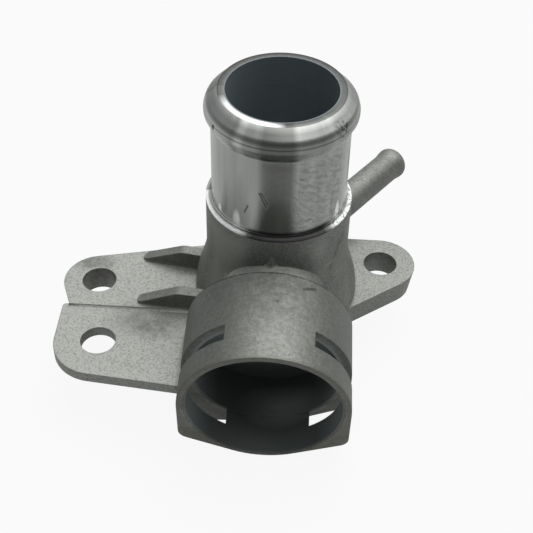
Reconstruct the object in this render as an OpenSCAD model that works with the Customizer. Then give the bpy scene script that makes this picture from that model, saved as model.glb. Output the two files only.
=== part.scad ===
// Coolant outlet flange, die cast in one piece of aluminium.
// The origin is on the spout's axis in the sealing face. +Z runs up the spout and the
// quick-connector socket opens towards -Y.

/* [Hose spout] */
// Outside diameter of the machined tube that the hose slides on
spout_d = 32; // [28:0.5:36]
// Height of the spout's mouth above the sealing face
spout_h = 66.2; // [60:0.5:80]
// Diameter of the passage through the spout
passage_d = 25.4; // [20:0.2:27]
// Extra diameter of the hose bead over the tube
bead_rise = 2.7; // [1:0.1:4]
// Length of the bead's back, below its crest
bead_back = 7.2; // [4:0.2:10]
// Length of the round that leads from the flank over to the crest
bead_soft = 1.6; // [1:0.1:2.6]
// Extra diameter of the tube where the bead's flank begins
bead_root = 0.1; // [0.1:0.1:1]
// Length of the bead's flank, below its crest
bead_flank = 4; // [3:0.2:5]
// Length of the bead's nose, above its crest
bead_nose = 4; // [3:0.2:6]
// Radius of the round between the bead's crest and the cone of its nose
bead_round = 2.4; // [1:0.1:3]
// Width of the flat rim round the mouth
mouth_rim = 0.9; // [0.6:0.1:1.8]

/* [Body] */
// Diameter of the cast body below the machined tube
body_d = 34.8; // [34:0.2:37]
// Height of the collar where the machined tube meets the cast body
collar_z = 36.3; // [33:0.1:42]
// Diameter of the foot where it meets the plate
foot_d = 40.8; // [38.5:0.2:42]
// Height at which the flare of the foot runs out into the body
flare_z = 23; // [16:0.5:28]
// Chamfer of the foot at the sealing face
foot_edge = 0.5; // [0.3:0.1:0.9]

/* [Plate] */
// Thickness of the plate at the bolt ears
plate_t = 6.8; // [5.5:0.1:9]
// How far the sides of the plate lean in at the sealing face
plate_draft = 0.9; // [0:0.1:1.5]
// Left bolt, across from the spout's axis
bolt_left_x = -45.2; // [-50:0.1:-40]
// Left bolt, behind the spout's axis
bolt_left_y = -2.5; // [-4:0.1:0]
// Right bolt, across from the spout's axis
bolt_right_x = 27; // [25:0.1:33]
// Right bolt, behind the spout's axis
bolt_right_y = 9; // [7:0.1:12]
// Diameter of the bolt holes and of the hole in the tab
hole_d = 8.6; // [6.6:0.1:9]
// Metal round each bolt hole
ear_wall = 4.7; // [3.5:0.1:6]

/* [Tab] */
// Thickness of the bracket tab
tab_t = 2.8; // [2:0.1:3.4]
// Step from the ear's top down to the tab
tab_step = 0.5; // [0:0.1:1]
// How far the tab runs in under the ear
tab_lap = 0.5; // [0.2:0.1:1.5]
// Radius of the tab's corner at the notch
tab_corner = 1; // [0.4:0.1:2]
// Tab hole, across from the spout's axis
tab_hole_x = -42.2; // [-46:0.1:-38]
// Tab hole, from the spout's axis towards the socket's mouth
tab_hole_y = -22.9; // [-25:0.1:-21]
// Metal round the tab's hole
tab_wall = 6.5; // [5:0.1:8]

/* [Ribs] */
// Thickness of the two ribs on the left ear
rib_t = 2.9; // [1.5:0.1:3.5]
// Height of the ribs above the plate
rib_h = 5.1; // [3:0.1:7]
// Height of the ribs where their ramps begin
rib_toe = 0.4; // [0.2:0.1:1]
// Angle of the ramp at each rib's outer end
rib_ramp = 24; // [20:1:60]
// Radius of the round from the ramp over to the level top
rib_round = 5; // [2:0.5:8]
// Distance of each rib's outer end from the spout's axis
rib_reach = 35.6; // [32:0.1:38]
// Rear rib's outer end, as an angle round the spout
rear_rib_at = 168.8; // [164:0.1:172]
// Front rib's outer end, as an angle round the spout
front_rib_at = 194.4; // [190:0.1:197]
// Direction that the rear rib runs in
rear_rib_dir = -9.5; // [-14:0.5:0]
// Direction that the front rib runs in
front_rib_dir = -5.5; // [-8:0.5:2]

/* [Socket] */
// Bore of the socket's lip
socket_d = 36; // [34:0.1:36.6]
// Bore of the socket behind the slots, where the connector seals
seal_bore_d = 35; // [30:0.1:35.4]
// Wall of the socket at its top and sides
socket_wall = 2; // [1.8:0.1:2.8]
// Wall of the socket's lip at its bottom
socket_floor = 0.8; // [0.6:0.1:1.6]
// Length of the socket's ring, with its closed rear
ring_len = 24.4; // [22:0.1:27]
// Depth of the socket's bore
socket_depth = 21.8; // [18:0.1:22]
// Distance of the socket's mouth from the spout's axis
socket_reach = 43.9; // [43:0.1:50]
// Height of the socket's axis where it crosses the spout's axis
socket_z = 12.3; // [11:0.1:15]
// How far the socket's mouth points down, in degrees
socket_tilt = 4.8; // [0:0.1:8]
// Sideways offset of the socket from the spout's axis
socket_x = -0.7; // [-2:0.1:2]
// Wall of the ring at its bottom, behind the slots
ring_floor = 1.7; // [0.8:0.1:2]
// Distance of the squared lower corners below the socket's axis, to their centres
corner_drop = 10; // [8:0.1:12]
// The same distance for the ring's left corner, behind the slots
rear_drop = 17.6; // [14:0.1:18]
// Radius of the squared corners
corner_r = 3; // [1.5:0.1:4]
// Chamfer at the socket's mouth
mouth_chamfer = 0.6; // [0.3:0.1:1]

/* [Clip slots] */
// Width of the slots for the wire clip
slot_w = 4.2; // [2:0.1:5]
// Metal between the slots and the socket's mouth
slot_lip = 6.1; // [3.5:0.1:7]
// Width of the bridge between the two slots
slot_bridge = 20.1; // [14:0.1:26]

/* [Neck] */
// Diameter of the neck that ties the socket to the body
neck_d = 24; // [20:0.2:25]
// Height of the neck's axis
neck_z = 17; // [15:0.1:18]
// Diameter of the branch through the neck
branch_d = 17; // [12:0.2:18]
// Height of the small peaked web between neck and body
peak_h = 5.6; // [3:0.1:7]
// Width of the small peaked web, inside the body
peak_w = 6.4; // [4:0.1:11]
// Reach of the small peaked web in front of the body
peak_l = 1.3; // [0.6:0.1:2]

/* [Bleed nipple] */
// Outside diameter of the bleed nipple
nipple_d = 8; // [6:0.1:10]
// Bore of the bleed nipple
nipple_bore_d = 5; // [3:0.1:5.6]
// Extra diameter of the nipple's bead
nipple_bead = 0.7; // [0:0.1:1.2]
// Length of the nipple's bead
nipple_bead_len = 5; // [3.5:0.5:8]
// Radius of the nipple's end
nipple_end_r = 2; // [1:0.1:2.5]
// Distance of the nipple's end from the spout's axis
nipple_reach = 53; // [42:0.5:60]
// Height of the nipple's axis
nipple_z = 15; // [13:0.1:20]
// Direction of the nipple, in degrees from +X towards +Y
nipple_turn = 54; // [45:1:80]

/* [Seal] */
// Diameter of the port in the sealing face
port_d = 28; // [24:0.2:30]
// Depth of the port
port_depth = 3; // [2:0.1:4]
// Width of the seal groove round the port
groove_w = 3; // [2:0.1:3.2]
// Depth of the seal groove
groove_depth = 1.9; // [1:0.1:2.5]
// Metal between the port and the seal groove
groove_land = 1.6; // [1.2:0.1:2]

/* [Hidden] */
$fn = 96;
steps = 14;
past = 1;
sink = 0.4;
slot_clear = 0.2;

spout_r = spout_d / 2;
flank_r = spout_r + bead_root / 2;
crest_r = spout_r + bead_rise / 2;
crest_z = spout_h - bead_nose;
mouth_r = passage_d / 2 + mouth_rim;
body_r = body_d / 2;
foot_r = foot_d / 2;
bolt_left = [bolt_left_x, bolt_left_y];
bolt_right = [bolt_right_x, bolt_right_y];
tab_hole = [tab_hole_x, tab_hole_y];
ear_r = hole_d / 2 + ear_wall;
tab_r = hole_d / 2 + tab_wall;
tab_top = plate_t - tab_step;
bore_r = socket_d / 2;
ring_r = bore_r + socket_wall;
lip_floor_r = bore_r + socket_floor;
ring_floor_r = bore_r + ring_floor;
ring_back = socket_reach - ring_len;
lip_back = socket_reach - slot_lip - slot_w;
bore_back = socket_reach - socket_depth;
corner_x = ring_r - corner_r;
nipple_r = nipple_d / 2;

// Directions of the ears' straight sides, from the bolt towards the foot
left_rear_dir = 12.7;
left_front_dir = -0.4;
left_notch_dir = -68.7;
right_rear_dir = 180;
right_front_dir = 216.2;
tab_front_dir = -6;

// Smooth run from one radius and height to another, level at both ends
function ease(a, b) = [for (i = [0:steps])
    [a.x + (b.x - a.x) * (1 - cos(180 * i / steps)) / 2, a.y + (b.y - a.y) * i / steps]];

// Quarter of a circle round centre, from the side up to the top
function quarter(centre, r) = [for (i = [0:steps])
    [centre.x + r * cos(90 * i / steps), centre.y + r * sin(90 * i / steps)]];

// Round of radius r from the crest, then a straight cone to the rim
function nose(crest, r, rim) =
    let (centre = [crest.x - r, crest.y],
         span = rim - centre,
         turn = atan2(span.y, span.x) - acos(r / norm(span)))
        concat([for (i = [0:steps]) centre + polar(r, turn * i / steps)], [rim]);

// Cone from a that rounds over, within the length soft, until it is level at b
function flank(a, b, soft) =
    let (slope = (b.x - a.x) / (b.y - a.y - soft / 2))
        concat([a], [for (i = [0:steps]) let (t = 1 - i / steps)
            [b.x - slope * soft * t * t / 2, b.y - soft * t]]);

function polar(r, a) = [r * cos(a), r * sin(a)];

// Machined tube with the hose bead at its mouth
module spout() {
    rotate_extrude()
        polygon(concat(
            [[0, collar_z - past], [spout_r, collar_z - past]],
            ease([spout_r, crest_z - bead_back], [flank_r, crest_z - bead_flank]),
            flank([flank_r, crest_z - bead_flank], [crest_r, crest_z], bead_soft),
            nose([crest_r, crest_z], bead_round, [mouth_r, spout_h]),
            [[0, spout_h]]));
}

// Cast body whose foot flares out onto the plate
module body() {
    rotate_extrude()
        polygon(concat(
            [[0, 0], [foot_r - foot_edge, 0], [foot_r, foot_edge]],
            ease([foot_r, plate_t + foot_edge], [body_r, flare_z]),
            [[body_r, collar_z], [0, collar_z]]));
}

// Points round part of a circle
function arc(centre, r, from, to) = [for (i = [0:steps])
    centre + polar(r, from + (to - from) * i / steps)];

// Outline of the left ear at radius r round its bolt. Its outer end runs straight to the notch
// where the tab begins.
function left_outline(r) = concat(
    [bolt_left + polar(norm(bolt_left), left_rear_dir) + polar(r, left_rear_dir + 90)],
    arc(bolt_left, r, left_rear_dir + 90, left_notch_dir + 270),
    [bolt_left + polar(r / cos((left_front_dir - left_notch_dir) / 2),
                       (left_front_dir + left_notch_dir) / 2 + 270)],
    [bolt_left + polar(norm(bolt_left), left_front_dir) + polar(r, left_front_dir - 90)]);

// Outline of the right ear at radius r round its bolt
function right_outline(r) = concat(
    [bolt_right + polar(norm(bolt_right), right_front_dir) + polar(r, right_front_dir + 90)],
    arc(bolt_right, r, right_front_dir - 270, right_rear_dir - 90),
    [bolt_right + polar(norm(bolt_right), right_rear_dir) + polar(r, right_rear_dir - 90)]);

// Plate between two outlines that have the same number of points
module leaning_plate(low, high, t) {
    n = len(low);
    polyhedron(
        points = concat([for (p = low) [p.x, p.y, 0]], [for (p = high) [p.x, p.y, t]]),
        faces = concat(
            [[for (i = [0:n - 1]) i], [for (i = [n - 1:-1:0]) n + i]],
            [for (i = [0:n - 1]) [i, n + i, n + (i + 1) % n, (i + 1) % n]]));
}

module left_ear() {
    leaning_plate(left_outline(ear_r - plate_draft), left_outline(ear_r), plate_t);
}

module right_ear() {
    leaning_plate(right_outline(ear_r - plate_draft), right_outline(ear_r), plate_t);
}

// Thin bracket tab that runs from the left ear to the side of the socket, and behind the
// socket to the foot
module tab() {
    edge_x = tab_hole.x - tab_r;
    edge_y = bolt_left.y - ear_r + tab_lap;
    inner_x = socket_x - bore_r - socket_wall / 2;
    back_y = -ring_back - past;
    front = tab_hole + polar(tab_r, tab_front_dir - 90);
    front_y = front.y + (inner_x - front.x) * tan(tab_front_dir);
    translate([0, 0, tab_top - tab_t])
        linear_extrude(tab_t)
            polygon(concat(
                arc(tab_hole, tab_r, 180, tab_front_dir + 270),
                [[inner_x, front_y], [inner_x, back_y], [-foot_r / 4, back_y], [-foot_r / 4, edge_y]],
                arc([edge_x + tab_corner, edge_y - tab_corner], tab_corner, 90, 180)));
}

// Side view of a rib: ramp at its outer end, rounded over into the level top
module rib_profile(reach) {
    corner = (rib_h - rib_toe) / tan(rib_ramp);
    bend = rib_round * tan(rib_ramp / 2);
    polygon(concat(
        [[0, -past], [0, rib_toe]],
        [for (i = [0:steps]) let (a = rib_ramp * (1 - i / steps))
            [corner + bend - rib_round * sin(a), rib_h - rib_round * (1 - cos(a))]],
        [[reach, rib_h], [reach, -past]]));
}

// Rib whose outer end is at the given angle round the spout and which runs in direction dir
module rib(at, dir) {
    reach = rib_reach - spout_r + past;
    start = polar(rib_reach, at);
    translate([start.x, start.y, plate_t])
        rotate([0, 0, dir])
            intersection() {
                translate([0, rib_t, 0])
                    rotate([90, 0, 0])
                        linear_extrude(2 * rib_t)
                            rib_profile(reach);
                union() {
                    translate([rib_t / 2, -rib_t / 2, -past]) cube([reach, rib_t, rib_h + 2 * past]);
                    translate([rib_t / 2, 0, -past]) cylinder(d = rib_t, h = rib_h + 2 * past);
                }
            }
}

// Places its children on the socket's axis: local Z points out of the mouth, local Y up
module on_socket(along = 0) {
    translate([socket_x, 0, socket_z])
        rotate([90 + socket_tilt, 0, 0])
            translate([0, 0, along])
                children();
}

// Points where the straight from a squared corner touches the corner and the floor
function floor_line(drop, floor_r) =
    let (corner = [corner_x, -drop],
         lean = atan2(corner.y, corner.x) - acos((floor_r - corner_r) / norm(corner)))
        [corner + polar(corner_r, lean), polar(floor_r, lean)];

// Outline of the socket: round above, upright sides, squared lower corners and a thin floor
module socket_outline(left_drop, right_drop, floor_r) {
    left = floor_line(left_drop, floor_r);
    right = floor_line(right_drop, floor_r);
    intersection() {
        circle(r = ring_r);
        translate([-ring_r, 0]) square([2 * ring_r, ring_r]);
    }
    circle(r = floor_r);
    translate([-corner_x, -left_drop]) circle(r = corner_r);
    translate([corner_x, -right_drop]) circle(r = corner_r);
    polygon([[ring_r, 0], [ring_r, -right_drop], right[0], right[1],
             [-left[1].x, left[1].y], [-left[0].x, left[0].y],
             [-ring_r, -left_drop], [-ring_r, 0]]);
}

// Ring with the lip in front of it
module socket() {
    on_socket(ring_back)
        linear_extrude(lip_back - ring_back)
            socket_outline(rear_drop, corner_drop, ring_floor_r);
    on_socket(lip_back)
        linear_extrude(socket_reach - lip_back)
            socket_outline(corner_drop, corner_drop, lip_floor_r);
}

// Neck between body and ring, with a small peaked web on top against the body
module neck() {
    top = neck_z + neck_d / 2 - sink;
    rear = past - body_r;
    translate([0, 0, neck_z])
        rotate([90, 0, 0])
            cylinder(d = neck_d, h = bore_back);
    polyhedron(
        points = [[socket_x - peak_w / 2, rear, top], [socket_x + peak_w / 2, rear, top],
                  [socket_x, rear, top + peak_h], [socket_x, -body_r - peak_l, top]],
        faces = [[0, 1, 3], [0, 3, 2], [3, 1, 2], [0, 2, 1]]);
}

// Bleed nipple with a soft bead and a rounded end
module nipple() {
    bead_r = nipple_r + nipple_bead / 2;
    translate([0, 0, nipple_z])
        rotate([0, 0, nipple_turn])
            rotate([0, 90, 0])
                rotate_extrude()
                    polygon(concat(
                        [[0, passage_d / 2 + past], [nipple_r, passage_d / 2 + past]],
                        ease([nipple_r, nipple_reach - nipple_bead_len],
                             [bead_r, nipple_reach - nipple_end_r]),
                        quarter([bead_r - nipple_end_r, nipple_reach - nipple_end_r], nipple_end_r),
                        [[0, nipple_reach]]));
}

// Passage, port, seal groove, branch, socket bore and nipple bore
module waterways() {
    translate([0, 0, -past]) cylinder(d = passage_d, h = spout_h + 2 * past);
    translate([0, 0, -past]) cylinder(d = port_d, h = port_depth + past);
    difference() {
        translate([0, 0, -past])
            cylinder(r = port_d / 2 + groove_land + groove_w, h = groove_depth + past);
        translate([0, 0, -2 * past])
            cylinder(r = port_d / 2 + groove_land, h = groove_depth + 4 * past);
    }
    translate([0, 0, neck_z])
        rotate([90, 0, 0])
            cylinder(d = branch_d, h = bore_back + 2 * past);
    on_socket(bore_back)
        cylinder(d = seal_bore_d, h = socket_depth + past);
    on_socket(lip_back)
        cylinder(r = bore_r, h = socket_reach - lip_back + past);
    on_socket(socket_reach - mouth_chamfer)
        cylinder(r1 = bore_r, r2 = bore_r + 2 * mouth_chamfer, h = 2 * mouth_chamfer);
    translate([0, 0, nipple_z])
        rotate([0, 0, nipple_turn])
            rotate([0, 90, 0])
                cylinder(d = nipple_bore_d, h = nipple_reach + past);
}

// Bolt holes through the ears and the hole in the tab
module holes() {
    for (at = [bolt_left, bolt_right, tab_hole])
        translate([at.x, at.y, -past]) cylinder(d = hole_d, h = plate_t + 2 * past);
}

// Slots through both sides of the ring, for the legs of the wire clip. They lie on both sides
// of the spout's axis and end just outside the ring.
module clip_slots() {
    slot_len = ring_r + abs(socket_x) + slot_clear - slot_bridge / 2;
    on_socket(lip_back)
        for (side = [-1, 1])
            translate([(side > 0 ? slot_bridge / 2 : -slot_bridge / 2 - slot_len) - socket_x,
                       -2 * ring_r, 0])
                cube([slot_len, 4 * ring_r, slot_w]);
}

module flange_casting() {
    color([0.62, 0.63, 0.62])
        difference() {
            union() {
                spout();
                body();
                left_ear();
                right_ear();
                tab();
                rib(rear_rib_at, rear_rib_dir);
                rib(front_rib_at, front_rib_dir);
                socket();
                neck();
                nipple();
            }
            waterways();
            holes();
            clip_slots();
        }
}

flange_casting();
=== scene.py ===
import math

import bpy
from mathutils import Matrix, Vector


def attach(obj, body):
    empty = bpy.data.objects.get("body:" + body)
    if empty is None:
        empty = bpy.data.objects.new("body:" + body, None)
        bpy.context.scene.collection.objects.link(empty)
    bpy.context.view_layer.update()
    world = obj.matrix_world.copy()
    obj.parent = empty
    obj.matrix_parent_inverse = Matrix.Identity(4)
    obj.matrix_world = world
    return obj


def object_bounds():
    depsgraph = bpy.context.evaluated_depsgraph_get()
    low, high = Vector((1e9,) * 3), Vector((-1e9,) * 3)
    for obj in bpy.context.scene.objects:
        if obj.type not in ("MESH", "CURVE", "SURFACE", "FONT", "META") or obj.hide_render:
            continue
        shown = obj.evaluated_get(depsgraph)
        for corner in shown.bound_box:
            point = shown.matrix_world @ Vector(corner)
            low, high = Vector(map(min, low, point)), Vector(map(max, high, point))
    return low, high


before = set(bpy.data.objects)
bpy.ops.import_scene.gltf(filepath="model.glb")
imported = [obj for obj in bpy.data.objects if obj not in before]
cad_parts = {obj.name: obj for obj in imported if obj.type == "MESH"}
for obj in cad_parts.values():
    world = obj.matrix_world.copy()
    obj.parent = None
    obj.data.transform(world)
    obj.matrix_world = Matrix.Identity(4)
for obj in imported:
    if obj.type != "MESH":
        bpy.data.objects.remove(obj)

scene = bpy.context.scene
scene.view_settings.view_transform = "Standard"
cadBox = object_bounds()
mm = 0.001


# Camera at the photograph's viewing angle: it looks at a point on the spout's axis
viewSettings = {
    "elevation": 43.6,      # degrees above the horizon
    "turn": 2.11,           # degrees round the spout, to the right of straight in front
    "roll": 1.49,           # degrees
    "distance": 258.8,      # mm from the aim point
    "aimHeight": 30,        # mm above the sealing face
    "slideRight": -2.82,    # mm across the view
    "slideUp": -12.82,
    "lens": 72.1,           # mm, on a sensor 36 mm wide
}


def makeCamera(s):
    e, a, r = (math.radians(s[k]) for k in ("elevation", "turn", "roll"))
    back = Vector((math.sin(a) * math.cos(e), -math.cos(a) * math.cos(e), math.sin(e)))
    right = Vector((math.cos(a), math.sin(a), 0))
    up = back.cross(right)
    rolledRight = right * math.cos(r) + up * math.sin(r)
    rolledUp = up * math.cos(r) - right * math.sin(r)
    place = Vector((0, 0, s["aimHeight"])) + back * s["distance"]
    place += rolledRight * s["slideRight"] + rolledUp * s["slideUp"]
    camera = bpy.data.objects.new("camera", bpy.data.cameras.new("camera"))
    scene.collection.objects.link(camera)
    turn = Matrix((rolledRight, rolledUp, back)).transposed()
    camera.matrix_world = Matrix.Translation(place * mm) @ turn.to_4x4()
    camera.data.lens = s["lens"]
    camera.data.sensor_width = 36
    camera.data.clip_start = 0.01
    scene.camera = camera


makeCamera(viewSettings)
print("camera placed")


# Shader maths: a socket that takes Python's operators
class Wire:
    def __init__(self, tree, socket):
        self.tree = tree
        self.socket = socket

    def math(self, operation, *others, clamp=False):
        return Nodes(self.tree).add("ShaderNodeMath", {"operation": operation, "use_clamp": clamp},
                                    dict(enumerate((self,) + others)))

    def __add__(self, other):
        return self.math("ADD", other)

    def __radd__(self, other):
        return self.math("ADD", other)

    def __mul__(self, other):
        return self.math("MULTIPLY", other)

    def __rmul__(self, other):
        return self.math("MULTIPLY", other)

    def __sub__(self, other):
        return self.math("SUBTRACT", other)

    def __rsub__(self, other):
        return Nodes(self.tree).add("ShaderNodeMath", {"operation": "SUBTRACT"}, {0: other, 1: self})

    def __truediv__(self, other):
        return self.math("DIVIDE", other)

    def __pow__(self, other):
        return self.math("POWER", other)

    def above(self, edge, soft):
        # 0 below edge, 1 above it, over a soft band
        return ((self - (edge - soft / 2)) / soft).clamped()

    def below(self, edge, soft):
        return 1 - self.above(edge, soft)

    def within(self, low, high, soft):
        return self.above(low, soft) * self.below(high, soft)

    def clamped(self):
        return self.math("ADD", 0, clamp=True)

    def most(self, other):
        return self.math("MAXIMUM", other)


class Nodes:
    def __init__(self, tree):
        self.tree = tree

    def add(self, kind, settings=None, inputs=None, out=0):
        node = self.tree.nodes.new(kind)
        for name, value in (settings or {}).items():
            setattr(node, name, value)
        for name, value in (inputs or {}).items():
            if isinstance(value, Wire):
                self.tree.links.new(value.socket, node.inputs[name])
            else:
                node.inputs[name].default_value = value
        return Wire(self.tree, node.outputs[out])

    def noise(self, place, scale, detail=3.0, rough=0.5):
        return self.add("ShaderNodeTexNoise", {}, {"Vector": place, "Scale": scale, "Detail": detail,
                                                   "Roughness": rough})

    def cells(self, place, scale):
        # distance to the nearest of scattered points
        return self.add("ShaderNodeTexVoronoi", {"feature": "F1"}, {"Vector": place, "Scale": scale},
                        out="Distance")

    def blend(self, factor, a, b):
        return self.add("ShaderNodeMix", {"data_type": "RGBA"}, {0: factor, 6: a, 7: b}, out=2)

    def tint(self, colour, value):
        # a colour made lighter or darker by a value
        return self.add("ShaderNodeVectorMath", {"operation": "SCALE"}, {0: colour[:3], "Scale": value})

    def axes(self, vector):
        node = self.tree.nodes.new("ShaderNodeSeparateXYZ")
        self.tree.links.new(vector.socket, node.inputs[0])
        return [Wire(self.tree, o) for o in node.outputs]

    def point(self, x, y, z):
        return self.add("ShaderNodeCombineXYZ", {}, {0: x, 1: y, 2: z})

    def spot(self, u, v, centre, size, soft):
        # 1 inside an ellipse
        across = (u - centre[0]) / size[0]
        along = (v - centre[1]) / size[1]
        return ((across * across + along * along) ** 0.5).below(1, soft)

    def stroke(self, u, v, start, end, width):
        # 1 on a line between two points
        run, rise = end[0] - start[0], end[1] - start[1]
        across, along = u - start[0], v - start[1]
        share = ((across * run + along * rise) / (run * run + rise * rise)).clamped()
        across, along = across - share * run, along - share * rise
        return ((across * across + along * along) ** 0.5).below(width / 2, width * 0.7)

    def marks(self, u, v, lines=(), dots=()):
        # lines are (start, end, width) and dots (centre, size, soft, strength); the strongest counts
        found = [self.stroke(u, v, *line) for line in lines]
        found += [self.spot(u, v, *dot[:3]) * dot[3] for dot in dots]
        total = found[0]
        for other in found[1:]:
            total = total.most(other)
        return total


# The casting's metal: a cast skin, a turned surface on the spout, and the hollows
castLooks = {
    "cast": (0.27, 0.279, 0.256, 1),
    "castDark": (0.17, 0.176, 0.163, 1),
    "castPale": (0.36, 0.37, 0.345, 1),
    "pitAndShade": (0.06, 0.062, 0.058, 1),
    "plate": (0.47, 0.48, 0.45, 1),
    "darkPatch": (0.13, 0.137, 0.125, 1),
    "olive": (0.16, 0.16, 0.125, 1),
    "shadePaint": (0.03, 0.031, 0.03, 1),
    "castMetallic": 0.7,
    "castRoughness": 0.58,
    "grainHeight": 0.035,       # mm
    "machined": (0.375, 0.386, 0.37, 1),
    "highlightPaint": (0.85, 0.87, 0.86, 1),
    "bruiseAndShade": (0.16, 0.165, 0.155, 1),
    "machinedRoughness": 0.19,
    "tubeRadius": 16,           # mm, as all lengths here
    "machinedRadius": 17.6,
    "machinedFrom": 36.2,
    "grooveEvery": 0.32,
    "grooveHeight": 0.004,
    "groovesBelow": 58,
    "scratchDepth": 0.05,
    "gougeDepth": 0.15,
    "hollow": (0.21, 0.25, 0.265, 1),
    "spoutBore": 12.9,
    "socketHollow": (0.28, 0.31, 0.31, 1),
    "socketFloor": (0.095, 0.105, 0.104, 1),
    "boreLighter": (0.34, 0.35, 0.34, 1),
    "socketTilt": 4.8,          # degrees
    "socketHeight": 12.3,
    "socketShift": 0.7,
    "socketBore": 18.25,
    "socketFrom": 20.5,
    "neckHeight": 17,
    "softEdge": 0.35,
}

# Spots (centre, size, softness), lines (start, end, width) and dots (centre, size, softness, strength).
# They lie round and along the socket, or round and up the spout, in mm; the glints are in degrees and mm.
markPlaces = {
    "topHighlight": ((2.5, 36), (5, 8), 1.2),
    "cratered": ((0, 27), (12, 9), 1.0),
    "boreLighter": ((3.5, 30.8), (6, 3.5), 1.7),
    "gougeLines": [((8.0, 22.8), (11.2, 21.5), 0.5)],
    "gougeDots": [((1.8, 27.7), (0.5, 0.3), 0.9, 0.5), ((3.2, 25.4), (0.8, 0.3), 0.9, 0.4)],
    "tabDarkPatch": ((-28.7, -12.8), (7.5, 5), 0.9),
    "earDarkPatch": ((-47.5, 5.5), (4.5, 2.8), 0.9),
    "foldLines": [((-8.7, 31.3), (-10.9, 27.5), 1.6), ((-10.9, 27.5), (-13.0, 23.2), 1.2)],
    "paleDab": ((-16.7, 31.6), (2.2, 2.6), 1.2),
    "glints": [((-125, 38.8), (3.5, 2.6), 0.6, 1), ((-146, 38.4), (2.6, 1.2), 0.6, 1),
               ((-31, 38.9), (2.6, 2.8), 0.6, 1)],
    "scratchLines": [((-29.0, 48.8), (-27.4, 45.1), 0.35), ((-28.5, 48.9), (-27.1, 45.8), 0.3),
                     ((-31.8, 44.4), (-32.7, 42.2), 0.35)],
    "scratchDots": [((-19.8, 53), (0.5, 0.3), 0.9, 0.5), ((-17.3, 41), (0.6, 0.35), 0.9, 0.4)],
    "ragged": ((-10.2, 63.2), (1.8, 1.6), 0.9),
    "dent": ((-40.8, 62), (0.45, 0.6), 0.5),
}

# Sectors of the spout: from, to and softness in degrees; 0 is at +X and -90 in front
sectors = {
    "paleFoot": (-150, -112, 12),
    "bruised": (-76, -26, 14),
    "frontShade": (-104, -77, 5),
    "beadShade": (-70, -52, 12),
    "beadGlint": (-124, -117, 4),
    "rimHighlight": (-158, -92, 16),
    "collarShade": (-114, -44, 10),
    "collarRightHighlight": (-39, 40, 8),
}


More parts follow.
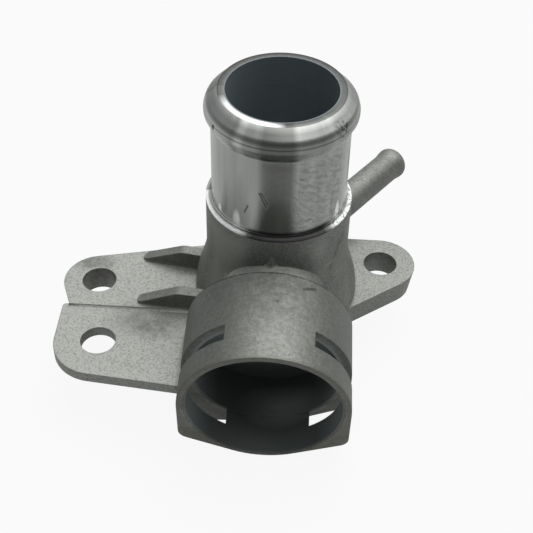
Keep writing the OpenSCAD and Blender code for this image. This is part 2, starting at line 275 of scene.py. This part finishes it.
def castAluminium(s, places, sectors):
    material = bpy.data.materials.new("castAluminium")
    material.use_nodes = True
    tree = material.node_tree
    tree.nodes.clear()
    n = Nodes(tree)
    metres = n.add("ShaderNodeTexCoord", out="Object")
    place = n.add("ShaderNodeVectorMath", {"operation": "SCALE"}, {0: metres, "Scale": 1 / mm})
    x, y, z = n.axes(place)
    radius = (x * x + y * y) ** 0.5
    angle = y.math("ARCTAN2", x) * (180 / math.pi)
    turned = z.above(s["machinedFrom"], 0.1) * radius.below(s["machinedRadius"], 0.1)
    outside = radius.above(17, 0.3)

    # Socket coordinates: distance along its axis, radius, and angle round it with 0 on top
    tilt = math.radians(s["socketTilt"])
    lift = z - s["socketHeight"]
    along = y * -math.cos(tilt) - lift * math.sin(tilt)
    up = y * -math.sin(tilt) + lift * math.cos(tilt)
    across = x + s["socketShift"]
    socketRadius = (across * across + up * up) ** 0.5
    turn = across.math("ARCTAN2", up) * (180 / math.pi)
    inSocket = socketRadius.below(s["socketBore"], 0.1) * along.above(s["socketFrom"], 0.4)
    inSpout = radius.below(s["spoutBore"], 0.1)

    # Cast skin: broad clouds, a mottle, fine speckle and small pits, paler on the plate and tab
    clouds = n.noise(place, 0.09, 3.0, 0.55)
    mottle = n.noise(place, 0.55, 4.0, 0.62)
    grain = n.noise(place, 2.3, 2.0, 0.55)
    pits = n.cells(place, 0.5).below(0.13, 0.1) * mottle.above(0.53, 0.1)
    flats = z.below(7.4, 0.4) * z.above(0.3, 0.2)
    cast = n.blend(mottle.above(0.5, 0.34) * 0.55 + clouds.above(0.5, 0.3) * 0.45, s["castDark"], s["cast"])
    cast = n.blend(flats * 0.5, cast, s["castPale"])
    cast = n.blend(flats * x.below(-17, 6) * 0.45, cast, s["plate"])
    cast = n.blend(grain.above(0.55, 0.16) * 0.45, cast, s["castPale"])
    cast = n.blend(grain.below(0.44, 0.12) * (flats * 0.25 + 0.35), cast, s["castDark"])
    freckles = n.noise(place, 1.25, 2.0, 0.6).below(0.38, 0.1)
    cast = n.blend(freckles * 0.28, cast, s["castDark"])

    # Top of the socket: pitted and cratered, with a painted highlight streak along its top and painted shade
    # darker down its sides
    topOfSocket = along.above(20, 2) * up.above(12, 5) * socketRadius.above(19, 0.6)
    patches = n.noise(place, 0.85, 3.0, 0.6)
    cast = n.blend(topOfSocket * patches.above(0.55, 0.14) * 0.3, cast, s["castPale"])
    cast = n.blend(topOfSocket * patches.below(0.43, 0.12) * 0.6, cast, s["castDark"])
    # painted highlight: a paler streak along the top of the socket, where the overhead light shines
    topHighlight = n.spot(across, along, *places["topHighlight"]) * topOfSocket
    cast = n.blend(topHighlight * 0.12, cast, s["castPale"])
    cratered = n.noise(place, 0.5, 3.0, 0.7).below(0.46, 0.14) * n.spot(across, along, *places["cratered"])
    cast = n.blend(cratered * topOfSocket * 0.6, cast, s["castDark"])
    # painted shade: the ring darker down its left and right sides, away from the light on its top
    sideShade = across.below(-3, 9).most(across.above(9, 8)) * along.above(20, 1)
    sideShade = sideShade * socketRadius.within(19, 21.5, 0.5)
    cast = n.blend(sideShade * 0.5, cast, s["castDark"])

    # Pale foot, painted light on the neck, darker patches on the tab and the left ear, an olive mouth and
    # painted shade along the ring's rear edge
    neckRadius = (across * across + (z - s["neckHeight"]) ** 2) ** 0.5
    neckLight = neckRadius.within(11, 12.5, 0.3) * along.within(12, 19.5, 0.2) * radius.above(17.45, 0.1)
    frontLeft = angle.within(*sectors["paleFoot"]) * z.within(12, 35, 4) * radius.within(16, 20, 0.5)
    cast = n.blend(frontLeft * 0.7, cast, s["castPale"])
    # painted light: the neck made paler, in the plate's colour, where light falls on its top
    cast = n.blend(neckLight * (patches.above(0.5, 0.4) * 0.6 + 0.45).clamped(), cast, s["plate"])
    # darker patches on the tab near the step and on the left ear
    darkPatch = n.spot(x + clouds * 6, y + mottle * 6, *places["tabDarkPatch"])
    darkPatch = darkPatch.most(n.spot(x, y + mottle * 3, *places["earDarkPatch"]))
    cast = n.blend(darkPatch * flats * mottle.above(0.42, 0.6) * 0.95, cast, s["darkPatch"])
    mouth = along.above(43.2, 0.3) * socketRadius.above(17.8, 0.2)
    cast = n.blend(mouth * patches.above(0.45, 0.2) * 0.5, cast, s["olive"])
    # painted shade: a dark line along the ring's rear edge, where it meets the neck; the same dark colour
    # also serves the pits, gouge, fold and scratches
    rearEdgeShade = along.within(19.4, 19.95, 0.2) * socketRadius.above(13, 1) * up.above(2, 4)
    cast = n.blend(rearEdgeShade * patches.below(0.6, 0.3) * 0.7, cast, s["pitAndShade"])
    cast = n.blend(pits * 0.35, cast, s["pitAndShade"])

    # Gouge on top of the socket and a cold fold down the body
    socketArc, bodyArc = turn * 0.35, angle * 0.31      # mm round the socket and the body
    gouge = n.marks(socketArc, along, places["gougeLines"], places["gougeDots"]) * topOfSocket
    fold = n.marks(bodyArc, z, places["foldLines"]) * outside * mottle.below(0.52, 0.12)
    cast = n.blend(n.spot(bodyArc, z, *places["paleDab"]) * outside * 0.5, cast, s["castPale"])
    cast = n.blend(gouge.most(fold * 0.7) * patches.below(0.62, 0.2) * 0.6, cast, s["pitAndShade"])

    # Turned surface: streaks round it, a bruised right side and painted shade in a band down the front, a
    # painted dark reflection
    arc = angle * (s["tubeRadius"] * math.pi / 180)
    streaks = n.noise(n.point(angle * 0.12, 0.0, z * 0.02), 1.0, 3.0, 0.6)
    metal = n.tint(s["machined"], streaks.above(0.5, 0.5) * 0.3 + 0.85)
    nicks = n.noise(place, 1.5, 2.0, 0.6)
    bruised = n.noise(n.point(arc * 0.6, z * 1.0 + arc * 0.4, 0.0), 1.0, 3.0, 0.6)
    bruises = angle.within(*sectors["bruised"]) * z.within(38, 58, 4) * bruised.below(0.5, 0.24)
    metal = n.blend(bruises * 0.4, metal, s["bruiseAndShade"])
    # painted reflection: a darker band down the front, stronger higher up; the bruises share its dark colour
    frontShade = angle.within(*sectors["frontShade"]) * z.above(38, 1.5)
    metal = n.blend(frontShade * (z.above(52, 8) * 0.35 + 0.5), metal, s["bruiseAndShade"])

    # Bead and rim: painted highlights at the left and right and in a thin strip, painted shade on the front
    # right, and a painted highlight line under the bead
    onBead = z.above(58.6, 1.5)
    metal = n.blend(onBead * angle.below(-136, 20) * 0.45, metal, s["highlightPaint"])
    metal = n.blend(onBead * angle.above(-32, 16) * 0.15, metal, s["highlightPaint"])
    metal = n.blend(onBead * angle.within(*sectors["beadShade"]) * 0.3, metal, s["bruiseAndShade"])
    metal = n.blend(onBead * angle.within(*sectors["beadGlint"]) * 0.5, metal, s["highlightPaint"])
    # painted highlight line along the bead's back edge
    metal = n.blend(z.within(60.2, 60.7, 0.3) * streaks.above(0.5, 0.2) * 0.6, metal, s["highlightPaint"])
    # painted shade: the flat rim darkened all round, with a painted highlight arc at its front left
    rim = z.above(66.05, 0.1) * radius.below(14.45, 0.1)
    metal = n.blend(rim * 0.72, metal, s["shadePaint"])
    rimHighlight = rim * radius.above(13.05, 0.2) * angle.within(*sectors["rimHighlight"])
    metal = n.blend(rimHighlight * 0.9, metal, s["highlightPaint"])

    # Collar: painted shade in front, painted highlights at the sides, with painted highlight glints on the
    # tube above it
    collar = z.below(37.9, 1)
    ledge = z.below(36.7, 0.2)
    metal = n.blend(collar * angle.within(*sectors["collarShade"]) * 0.9, metal, s["shadePaint"])
    sides = angle.below(-117, 8).most(angle.within(*sectors["collarRightHighlight"]) * nicks.below(0.55, 0.12))
    metal = n.blend(collar * sides * (ledge * 0.4 + 0.6), metal, s["highlightPaint"])
    metal = n.blend(n.marks(angle, z, dots=places["glints"]), metal, s["highlightPaint"])

    # Scratches on the tube, a ragged patch and a small dent on the bead
    scratch = n.marks(arc, z, places["scratchLines"], places["scratchDots"])
    dent = n.spot(arc, z, *places["ragged"]) * nicks.below(0.47, 0.08)
    dent = dent.most(n.spot(arc, z, *places["dent"]))
    metal = n.blend(scratch.most(dent) * 0.85, metal, s["pitAndShade"])

    # Passages: the spout's hollow, and the socket's bore with a dark floor and a lighter patch
    colour = n.blend(turned, cast, metal)
    hollowed = (inSocket + inSpout).clamped()
    colour = n.blend(inSpout, colour, s["hollow"])
    bore = n.blend(up.below(-9, 8), s["socketHollow"], s["socketFloor"])
    # a lighter patch in the bore
    bore = n.blend(n.spot(across, along, *places["boreLighter"]) * 0.9, bore, s["boreLighter"])
    colour = n.blend(inSocket, colour, bore)
    metallic = (turned * (1 - s["castMetallic"]) + s["castMetallic"]) * (1 - hollowed * 0.9)
    rough = turned * (s["machinedRoughness"] - s["castRoughness"]) + s["castRoughness"]
    rough = rough + bruises * 0.2 + turned * z.above(59, 1) * 0.24 + turned * ledge * 0.35

    # Relief: cast grain, turning grooves, scratches and the gouge, over rounded edges
    skin = (1 - turned) * (1 - hollowed * 0.8)
    groove = (z * (2 * math.pi / s["grooveEvery"])).math("SINE") * z.below(s["groovesBelow"], 1)
    height = (grain * 0.7 + mottle * 1.1 - pits * 1.2) * skin * s["grainHeight"]
    height = height + groove * turned * s["grooveHeight"]
    height = height - (scratch.most(dent * 0.4) + bruises * 0.4) * turned * s["scratchDepth"]
    height = height - gouge.most(fold) * s["gougeDepth"]
    edges = n.add("ShaderNodeBevel", {"samples": 4}, {"Radius": s["softEdge"] * mm})
    bump = n.add("ShaderNodeBump", {}, {"Height": height, "Strength": 1.0, "Distance": mm, "Normal": edges})
    shader = n.add("ShaderNodeBsdfPrincipled", {},
                   {"Base Color": colour, "Metallic": metallic, "Roughness": rough, "Normal": bump})
    out = tree.nodes.new("ShaderNodeOutputMaterial")
    tree.links.new(shader.socket, out.inputs[0])
    return material


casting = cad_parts["flange_casting"]
metal = castAluminium(castLooks, markPlaces, sectors)
if casting.material_slots:
    for spot in casting.material_slots:
        spot.material = metal
else:
    casting.data.materials.append(metal)
print("casting dressed")


# Visual skins over the casting, each in the casting's own metal
def addSkin(name, corners, faces):
    mesh = bpy.data.meshes.new(name)
    mesh.from_pydata([(px * mm, py * mm, pz * mm) for px, py, pz in corners], [], faces)
    mesh.polygons.foreach_set("use_smooth", [True] * len(faces))
    mesh.materials.append(metal)
    skin = bpy.data.objects.new(name, mesh)
    scene.collection.objects.link(skin)
    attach(skin, "root")


def turnedSkin(name, profile, turns):
    # a profile of (radius, height) turned round the spout's axis
    corners = [(r * math.cos(2 * math.pi * k / turns), r * math.sin(2 * math.pi * k / turns), h)
               for r, h in profile for k in range(turns)]
    faces = []
    for i in range(len(profile) - 1):
        for k in range(turns):
            low, high, after = i * turns, (i + 1) * turns, (k + 1) % turns
            faces.append((low + k, low + after, high + after, high + k))
    addSkin(name, corners, faces)


# Fillet where the spout's tube meets its collar
filletSettings = {"tube": 16.02, "reach": 17.3, "collar": 36.31, "rise": 0.9, "steps": 10, "turns": 160}


def makeFillet(s):
    profile = []
    for i in range(s["steps"] + 1):
        t = math.pi / 2 * i / s["steps"]
        profile.append((s["reach"] - (s["reach"] - s["tube"]) * math.sin(t),
                        s["collar"] + s["rise"] * (1 - math.cos(t))))
    turnedSkin("collar_fillet", profile, s["turns"])


makeFillet(filletSettings)
print("collar fillet made")


# Full shoulder of the bead: a cone from the rim, a tight round and a crisp back edge
shoulderSettings = {"inner": (13.62, 66.19), "rim": (14.5, 66.15), "slope": 36.8, "wide": 17.5, "round": 1.0,
                    "back": [(17.5, 61.2), (17.46, 60.95), (17.3, 60.65), (16.97, 60.5)],
                    "steps": 8, "turns": 160}


def makeShoulder(s):
    slope = math.radians(s["slope"])
    start = s["wide"] - s["round"] * (1 - math.cos(slope))
    height = s["rim"][1] - (start - s["rim"][0]) / math.tan(slope)
    middle = height - s["round"] * math.sin(slope)
    profile = [s["inner"], s["rim"]]
    for i in range(s["steps"] + 1):
        lean = slope * (1 - i / s["steps"])
        profile.append((s["wide"] - s["round"] * (1 - math.cos(lean)), middle + s["round"] * math.sin(lean)))
    turnedSkin("bead_shoulder", (profile + s["back"])[::-1], s["turns"])


makeShoulder(shoulderSettings)
print("bead shoulder made")


# Soft ramp from the left ear down to the thin tab, narrower towards its outer end
rampSettings = {"top": 6.81, "low": 6.3, "from": -51.2, "to": -18.5, "corner": -51.37, "notchRise": 2.565,
                "edge": -11.5, "edgeTurn": 0.4, "hole": -45.2, "lap": 0.2, "width": 0.75, "taper": 0.8,
                "bend": 1.2, "steps": 24, "rows": 5}


def makeRamp(s):
    corners, faces = [], []
    rows = s["rows"]
    for i in range(s["steps"] + 1):
        px = s["from"] + (s["to"] - s["from"]) * i / s["steps"]
        edge = s["edge"] - math.tan(math.radians(s["edgeTurn"])) * (px - s["hole"])
        edge += max(0, s["corner"] - px) * s["notchRise"]
        wide = s["width"] * min(1, (px - s["from"]) / s["taper"] + 0.2)
        for j in range(rows):
            t = j / (rows - 1)
            height = s["low"] + (s["top"] - s["low"]) * (1 - t) ** s["bend"]
            corners.append((px, edge + s["lap"] - wide * t, height))
    for i in range(s["steps"]):
        for j in range(rows - 1):
            start = i * rows + j
            faces.append((start, start + 1, start + rows + 1, start + rows))
    addSkin("step_ramp", corners, faces)


makeRamp(rampSettings)
print("step ramp made")


# Floor: white paper for the camera, dimmer for the light that the object gets back from it
floorSettings = {"size": 6.0, "gap": 0.05, "paper": (0.45, 0.45, 0.45, 1), "seenWhite": 0.99,
                 "seenShare": 0.93, "mirroredShare": 0.3}


def makeFloor(s, lowest):
    half = s["size"] / 2
    mesh = bpy.data.meshes.new("floor")
    height = lowest - s["gap"] * mm
    corners = [(-half, -half, height), (half, -half, height), (half, half, height), (-half, half, height)]
    mesh.from_pydata(corners, [], [(0, 1, 2, 3)])
    floor = bpy.data.objects.new("floor", mesh)
    scene.collection.objects.link(floor)
    material = bpy.data.materials.new("paleFloor")
    material.use_nodes = True
    tree = material.node_tree
    tree.nodes.clear()
    n = Nodes(tree)
    paper = n.add("ShaderNodeBsdfDiffuse", {}, {"Color": s["paper"]})
    white = n.add("ShaderNodeEmission", {}, {"Color": (s["seenWhite"],) * 3 + (1,), "Strength": 1.0})
    seen = n.add("ShaderNodeLightPath", out="Is Camera Ray") * s["seenShare"]
    mirrored = n.add("ShaderNodeLightPath", out="Is Glossy Ray") * s["mirroredShare"]
    surface = n.add("ShaderNodeMixShader", {}, {0: seen.most(mirrored), 1: paper, 2: white})
    out = tree.nodes.new("ShaderNodeOutputMaterial")
    tree.links.new(surface.socket, out.inputs[0])
    mesh.materials.append(material)


makeFloor(floorSettings, cadBox[0][2])
print("floor laid")


# Light: a dim sky, a broad lamp overhead and one behind
worldSettings = {"colour": (0.96, 1.0, 0.99, 1), "strength": 0.12}
lampSettings = {
    "overhead": {"place": (0.15, 0.2, 1.2), "size": (1.2, 1.2), "power": 16},
    "behind": {"place": (0.2, 0.8, 0.9), "size": (2.2, 1.6), "power": 8},
}
lampTarget = (0, 0, 0.02)


def makeWorld(s):
    world = bpy.data.worlds.new("studio")
    scene.world = world
    world.use_nodes = True
    background = world.node_tree.nodes["Background"]
    background.inputs[0].default_value = s["colour"]
    background.inputs[1].default_value = s["strength"]


def areaLamp(name, s):
    data = bpy.data.lights.new(name, "AREA")
    data.energy = s["power"]
    data.shape = "RECTANGLE"
    data.size, data.size_y = s["size"]
    lamp = bpy.data.objects.new(name, data)
    scene.collection.objects.link(lamp)
    lamp.location = s["place"]
    aim = Vector(lampTarget) - Vector(s["place"])
    lamp.rotation_euler = aim.to_track_quat("-Z", "Y").to_euler()


makeWorld(worldSettings)
for lampName, values in lampSettings.items():
    areaLamp(lampName, values)
print("stage lit")
